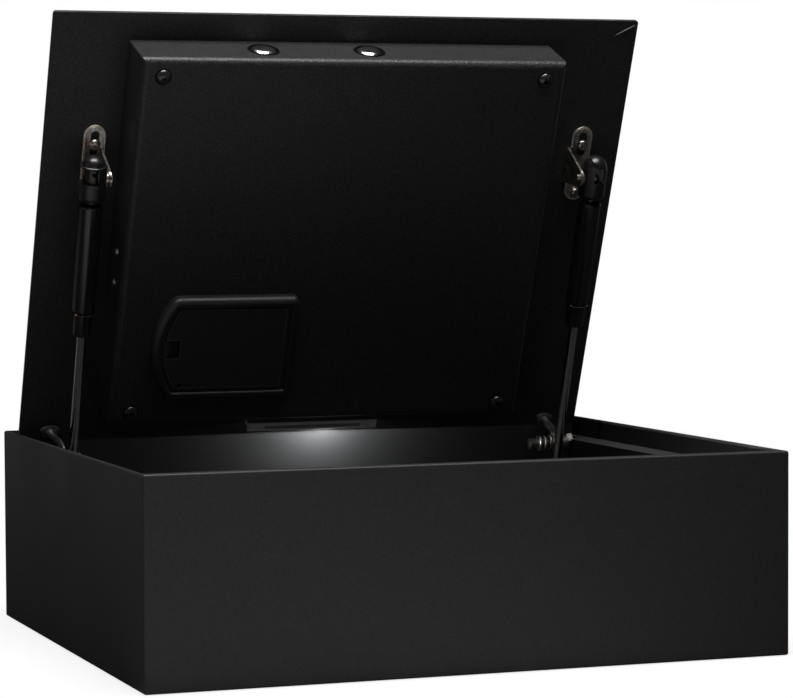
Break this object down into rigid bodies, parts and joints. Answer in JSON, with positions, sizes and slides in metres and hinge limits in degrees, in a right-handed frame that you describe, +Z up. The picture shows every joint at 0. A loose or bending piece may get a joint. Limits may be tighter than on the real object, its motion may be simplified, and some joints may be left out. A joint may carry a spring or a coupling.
{
  "type": "home safe",
  "caption": "Shallow steel home safe whose lid opens on two gas struts, with a lock case, battery door and light under the lid.",
  "frame": {"origin": "centre of the body's underside", "axes": "+X to the right, +Y to the back, +Z up"},
  "size_m": [0.4, 0.35, 0.3927],
  "materials": {
    "black_paint": "fine textured satin powder coat",
    "foam": "matte foam",
    "zinc": "bright zinc plate",
    "black_steel": "gloss black",
    "black_plastic": "satin",
    "grey_plastic": "satin",
    "clear_lens": "clear plastic lens",
    "chrome": "polished",
    "green_board": "solder mask",
    "cell_wrap": "printed foil wrap"
  },
  "bodies": {
    "box": {"body_shell": "black_paint", "floor_mat": "foam", "strike_plate": "black_paint", "side_rail_left": "black_paint", "side_rail_right": "black_paint", "pivot_pin_left": "zinc", "pivot_pin_right": "zinc", "pivot_washer_left": "zinc", "pivot_washer_right": "zinc", "pivot_nut_left": "zinc", "pivot_nut_right": "zinc", "lower_stud_left": "zinc", "lower_stud_right": "zinc"},
    "lid": {"lid_plate": "black_paint", "lock_case": "black_paint", "case_screw_1": "black_steel", "case_screw_2": "black_steel", "case_screw_3": "black_steel", "case_screw_4": "black_steel", "case_side_screw_1": "zinc", "case_side_screw_2": "zinc", "bracket_screw_1": "zinc", "bracket_screw_2": "zinc", "bracket_screw_3": "zinc", "bracket_screw_4": "zinc", "hinge_arm_left": "black_steel", "hinge_arm_right": "black_steel", "strut_bracket_left": "zinc", "strut_bracket_right": "zinc", "upper_ball_stud_left": "zinc", "upper_ball_stud_right": "zinc", "bolt_bush_left": "black_plastic", "bolt_bush_right": "black_plastic", "lock_motor": "zinc", "circuit_board": "green_board", "battery_bezel": "black_plastic", "battery_cell_1": "cell_wrap", "battery_cell_2": "cell_wrap", "battery_cell_3": "cell_wrap", "battery_cell_4": "cell_wrap", "light_bar": "grey_plastic", "light_lens": "clear_lens", "keypad_panel": "black_plastic"},
    "bolts": {"bolt_carriage": "zinc", "locking_bolt_left": "chrome", "locking_bolt_right": "chrome"},
    "pinion": {"drive_pinion": "zinc"},
    "battery_cover": {"battery_door": "black_plastic"},
    "override_lock": {"key_lock": "chrome"},
    "strut_body_left": {"strut_tube_left": "black_steel", "strut_top_socket_left": "black_plastic", "strut_end_cap_left": "black_plastic"},
    "strut_piston_left": {"strut_rod_left": "black_steel", "strut_lower_socket_left": "black_plastic"},
    "strut_body_right": {"strut_tube_right": "black_steel", "strut_top_socket_right": "black_plastic", "strut_end_cap_right": "black_plastic"},
    "strut_piston_right": {"strut_rod_right": "black_steel", "strut_lower_socket_right": "black_plastic"}
  },
  "joints": [
    {"name": "lid_hinge", "type": "hinge", "parent": "box", "child": "lid", "pos_m": [0, 0.136, 0.1055], "axis": [1, 0, 0], "range_deg": [0, 68], "stiffness_Nm_per_rad": 4, "springref_deg": -114.59},
    {"name": "bolt_slide", "type": "slide", "parent": "lid", "child": "bolts", "axis": [0, -0.3746, 0.9272], "range_m": [0, 0.018]},
    {"name": "pinion_spin", "type": "hinge", "parent": "lid", "child": "pinion", "pos_m": [-0.0191, 0.05336, 0.29936], "axis": [0, 0.9272, 0.3746], "range_deg": [0, 172]},
    {"name": "battery_door_hinge", "type": "hinge", "parent": "lid", "child": "battery_cover", "pos_m": [-0.0361, 0.07521, 0.17908], "axis": [0, -0.3746, 0.9272], "range_deg": [0, 58]},
    {"name": "key_turn", "type": "hinge", "parent": "lid", "child": "override_lock", "pos_m": [0.044, 0.05918, 0.329], "axis": [0, 0.9272, 0.3746], "range_deg": [0, 90]},
    {"name": "strut_pivot_left", "type": "hinge", "parent": "lid", "child": "strut_body_left", "pos_m": [-0.17, 0.04763, 0.2882], "axis": [1, 0, 0], "range_deg": [-4, 0]},
    {"name": "strut_stroke_left", "type": "slide", "parent": "strut_body_left", "child": "strut_piston_left", "axis": [0, 0.319, -0.9478], "range_m": [-0.038, 0]},
    {"name": "strut_pivot_right", "type": "hinge", "parent": "lid", "child": "strut_body_right", "pos_m": [0.17, 0.04763, 0.2882], "axis": [1, 0, 0], "range_deg": [-4, 0]},
    {"name": "strut_stroke_right", "type": "slide", "parent": "strut_body_right", "child": "strut_piston_right", "axis": [0, 0.319, -0.9478], "range_m": [-0.038, 0]}
  ],
  "couplings": [
    {"joint": "pinion_spin", "follows": "bolt_slide", "rad_per_m": 166.67},
    {"joint": "strut_pivot_left", "follows": "lid_hinge", "ratio": -0.045},
    {"joint": "strut_stroke_left", "follows": "lid_hinge", "m_per_rad": -0.0315},
    {"joint": "strut_pivot_right", "follows": "lid_hinge", "ratio": -0.045},
    {"joint": "strut_stroke_right", "follows": "lid_hinge", "m_per_rad": -0.0315}
  ]
}
